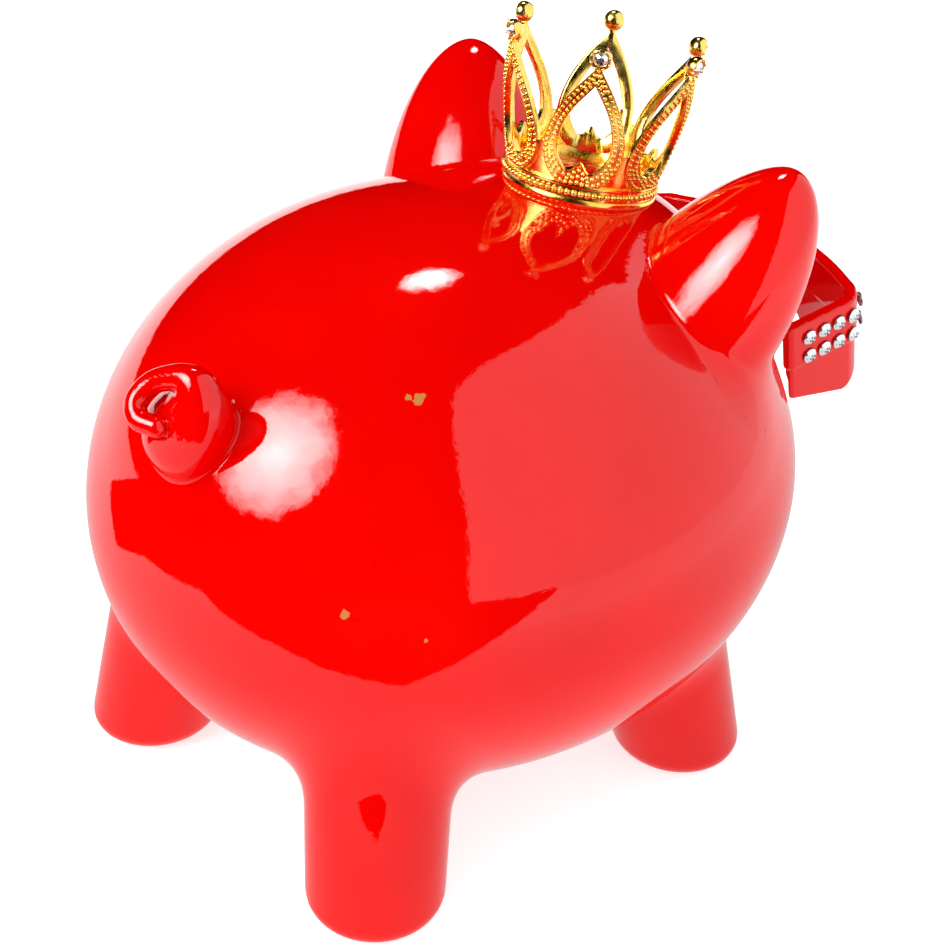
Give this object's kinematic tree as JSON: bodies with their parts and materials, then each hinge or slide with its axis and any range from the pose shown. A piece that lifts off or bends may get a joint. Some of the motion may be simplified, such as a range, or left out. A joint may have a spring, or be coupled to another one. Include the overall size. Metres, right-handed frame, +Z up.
{
  "type": "pig money bank",
  "caption": "Hollow glazed pig money bank with curled tail, gold crown on its head, gem-studded sunglasses, coin slot inside the crown ring and a pull-out stopper in the belly.",
  "frame": {"origin": "middle of the object's box, on the floor it stands on", "axes": "+Z up; the pig faces -Y, its tail is at +Y and its own right side is at -X"},
  "size_m": [0.22, 0.2882, 0.2417],
  "materials": {
    "glaze": "high gloss",
    "frame": "high gloss",
    "gold": "polished gilt",
    "crystal": "clear, foiled back",
    "lens": "high gloss",
    "rubber": "matte"
  },
  "bodies": {
    "bank": {"body_shell": "glaze", "brow_stone_1_1": "crystal", "brow_stone_1_10": "crystal", "brow_stone_1_11": "crystal", "brow_stone_1_12": "crystal", "brow_stone_1_13": "crystal", "brow_stone_1_2": "crystal", "brow_stone_1_3": "crystal", "brow_stone_1_4": "crystal", "brow_stone_1_5": "crystal", "brow_stone_1_6": "crystal", "brow_stone_1_7": "crystal", "brow_stone_1_8": "crystal", "brow_stone_1_9": "crystal", "brow_stone_2_1": "crystal", "brow_stone_2_10": "crystal", "brow_stone_2_11": "crystal", "brow_stone_2_12": "crystal", "brow_stone_2_13": "crystal", "brow_stone_2_2": "crystal", "brow_stone_2_3": "crystal", "brow_stone_2_4": "crystal", "brow_stone_2_5": "crystal", "brow_stone_2_6": "crystal", "brow_stone_2_7": "crystal", "brow_stone_2_8": "crystal", "brow_stone_2_9": "crystal", "crown": "gold", "crown_stone_1": "crystal", "crown_stone_2": "crystal", "crown_stone_3": "crystal", "crown_stone_4": "crystal", "crown_stone_5": "crystal", "crown_stone_6": "crystal", "ear_left": "glaze", "ear_right": "glaze", "lens_left": "lens", "lens_right": "lens", "sunglasses_frame": "frame", "tail": "glaze", "temple_stone_left_1_1": "crystal", "temple_stone_left_1_2": "crystal", "temple_stone_left_1_3": "crystal", "temple_stone_left_1_4": "crystal", "temple_stone_left_2_1": "crystal", "temple_stone_left_2_2": "crystal", "temple_stone_left_2_3": "crystal", "temple_stone_left_2_4": "crystal", "temple_stone_right_1_1": "crystal", "temple_stone_right_1_2": "crystal", "temple_stone_right_1_3": "crystal", "temple_stone_right_1_4": "crystal", "temple_stone_right_2_1": "crystal", "temple_stone_right_2_2": "crystal", "temple_stone_right_2_3": "crystal", "temple_stone_right_2_4": "crystal"},
    "stopper": {"stopper": "rubber"}
  },
  "joints": [
    {"name": "stopper_pull", "type": "slide", "parent": "bank", "child": "stopper", "axis": [0, 0, -1], "range_m": [0, 0.025]}
  ]
}
